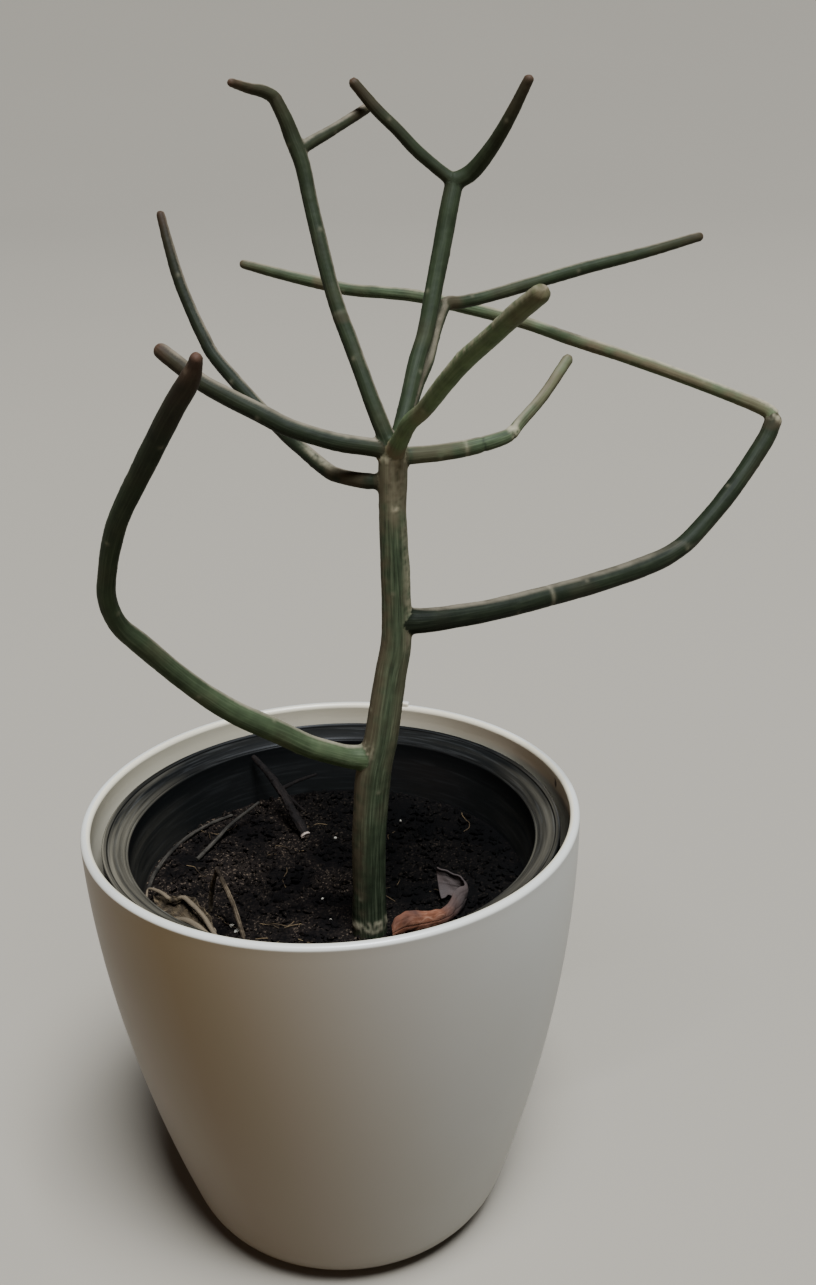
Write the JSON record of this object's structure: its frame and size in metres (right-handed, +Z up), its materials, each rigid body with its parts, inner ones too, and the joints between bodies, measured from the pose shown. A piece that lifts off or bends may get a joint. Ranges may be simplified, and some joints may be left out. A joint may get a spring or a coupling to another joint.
{
  "type": "potted pencil cactus",
  "caption": "Bare, branching succulent with pencil-thin stems, growing in a dark nursery pot that stands inside an off-white planter.",
  "frame": {"origin": "middle of the planter's underside, on the surface that it stands on", "axes": "+Z up through the pot and the plant; the picture looks along +Y with +X to the right"},
  "size_m": [0.2869, 0.2414, 0.4657],
  "materials": {
    "planter_plastic": "moulded, satin, off-white",
    "liner_plastic": "thin black plastic, dusty, scuffed to a dull shine",
    "potting_soil": "dry, crumbly, dark brown potting mix",
    "succulent_skin": "waxy grey-green skin with fine lengthwise lines",
    "dead_wood": "dead, dark brown bark",
    "dry_stalk": "dry, tan plant fibre",
    "dry_leaf": "dry, reddish-brown leaf"
  },
  "bodies": {
    "root": {"cover_pot": "planter_plastic", "nursery_pot": "liner_plastic", "soil": "potting_soil", "pencil_cactus": "succulent_skin", "dry_twig": "dead_wood", "dry_stalk_long": "dry_stalk", "dry_stalk_short": "dry_stalk", "bent_stalk": "dry_stalk", "crumpled_leaf": "dry_stalk", "curled_leaf": "dry_leaf"}
  },
  "joints": []
}
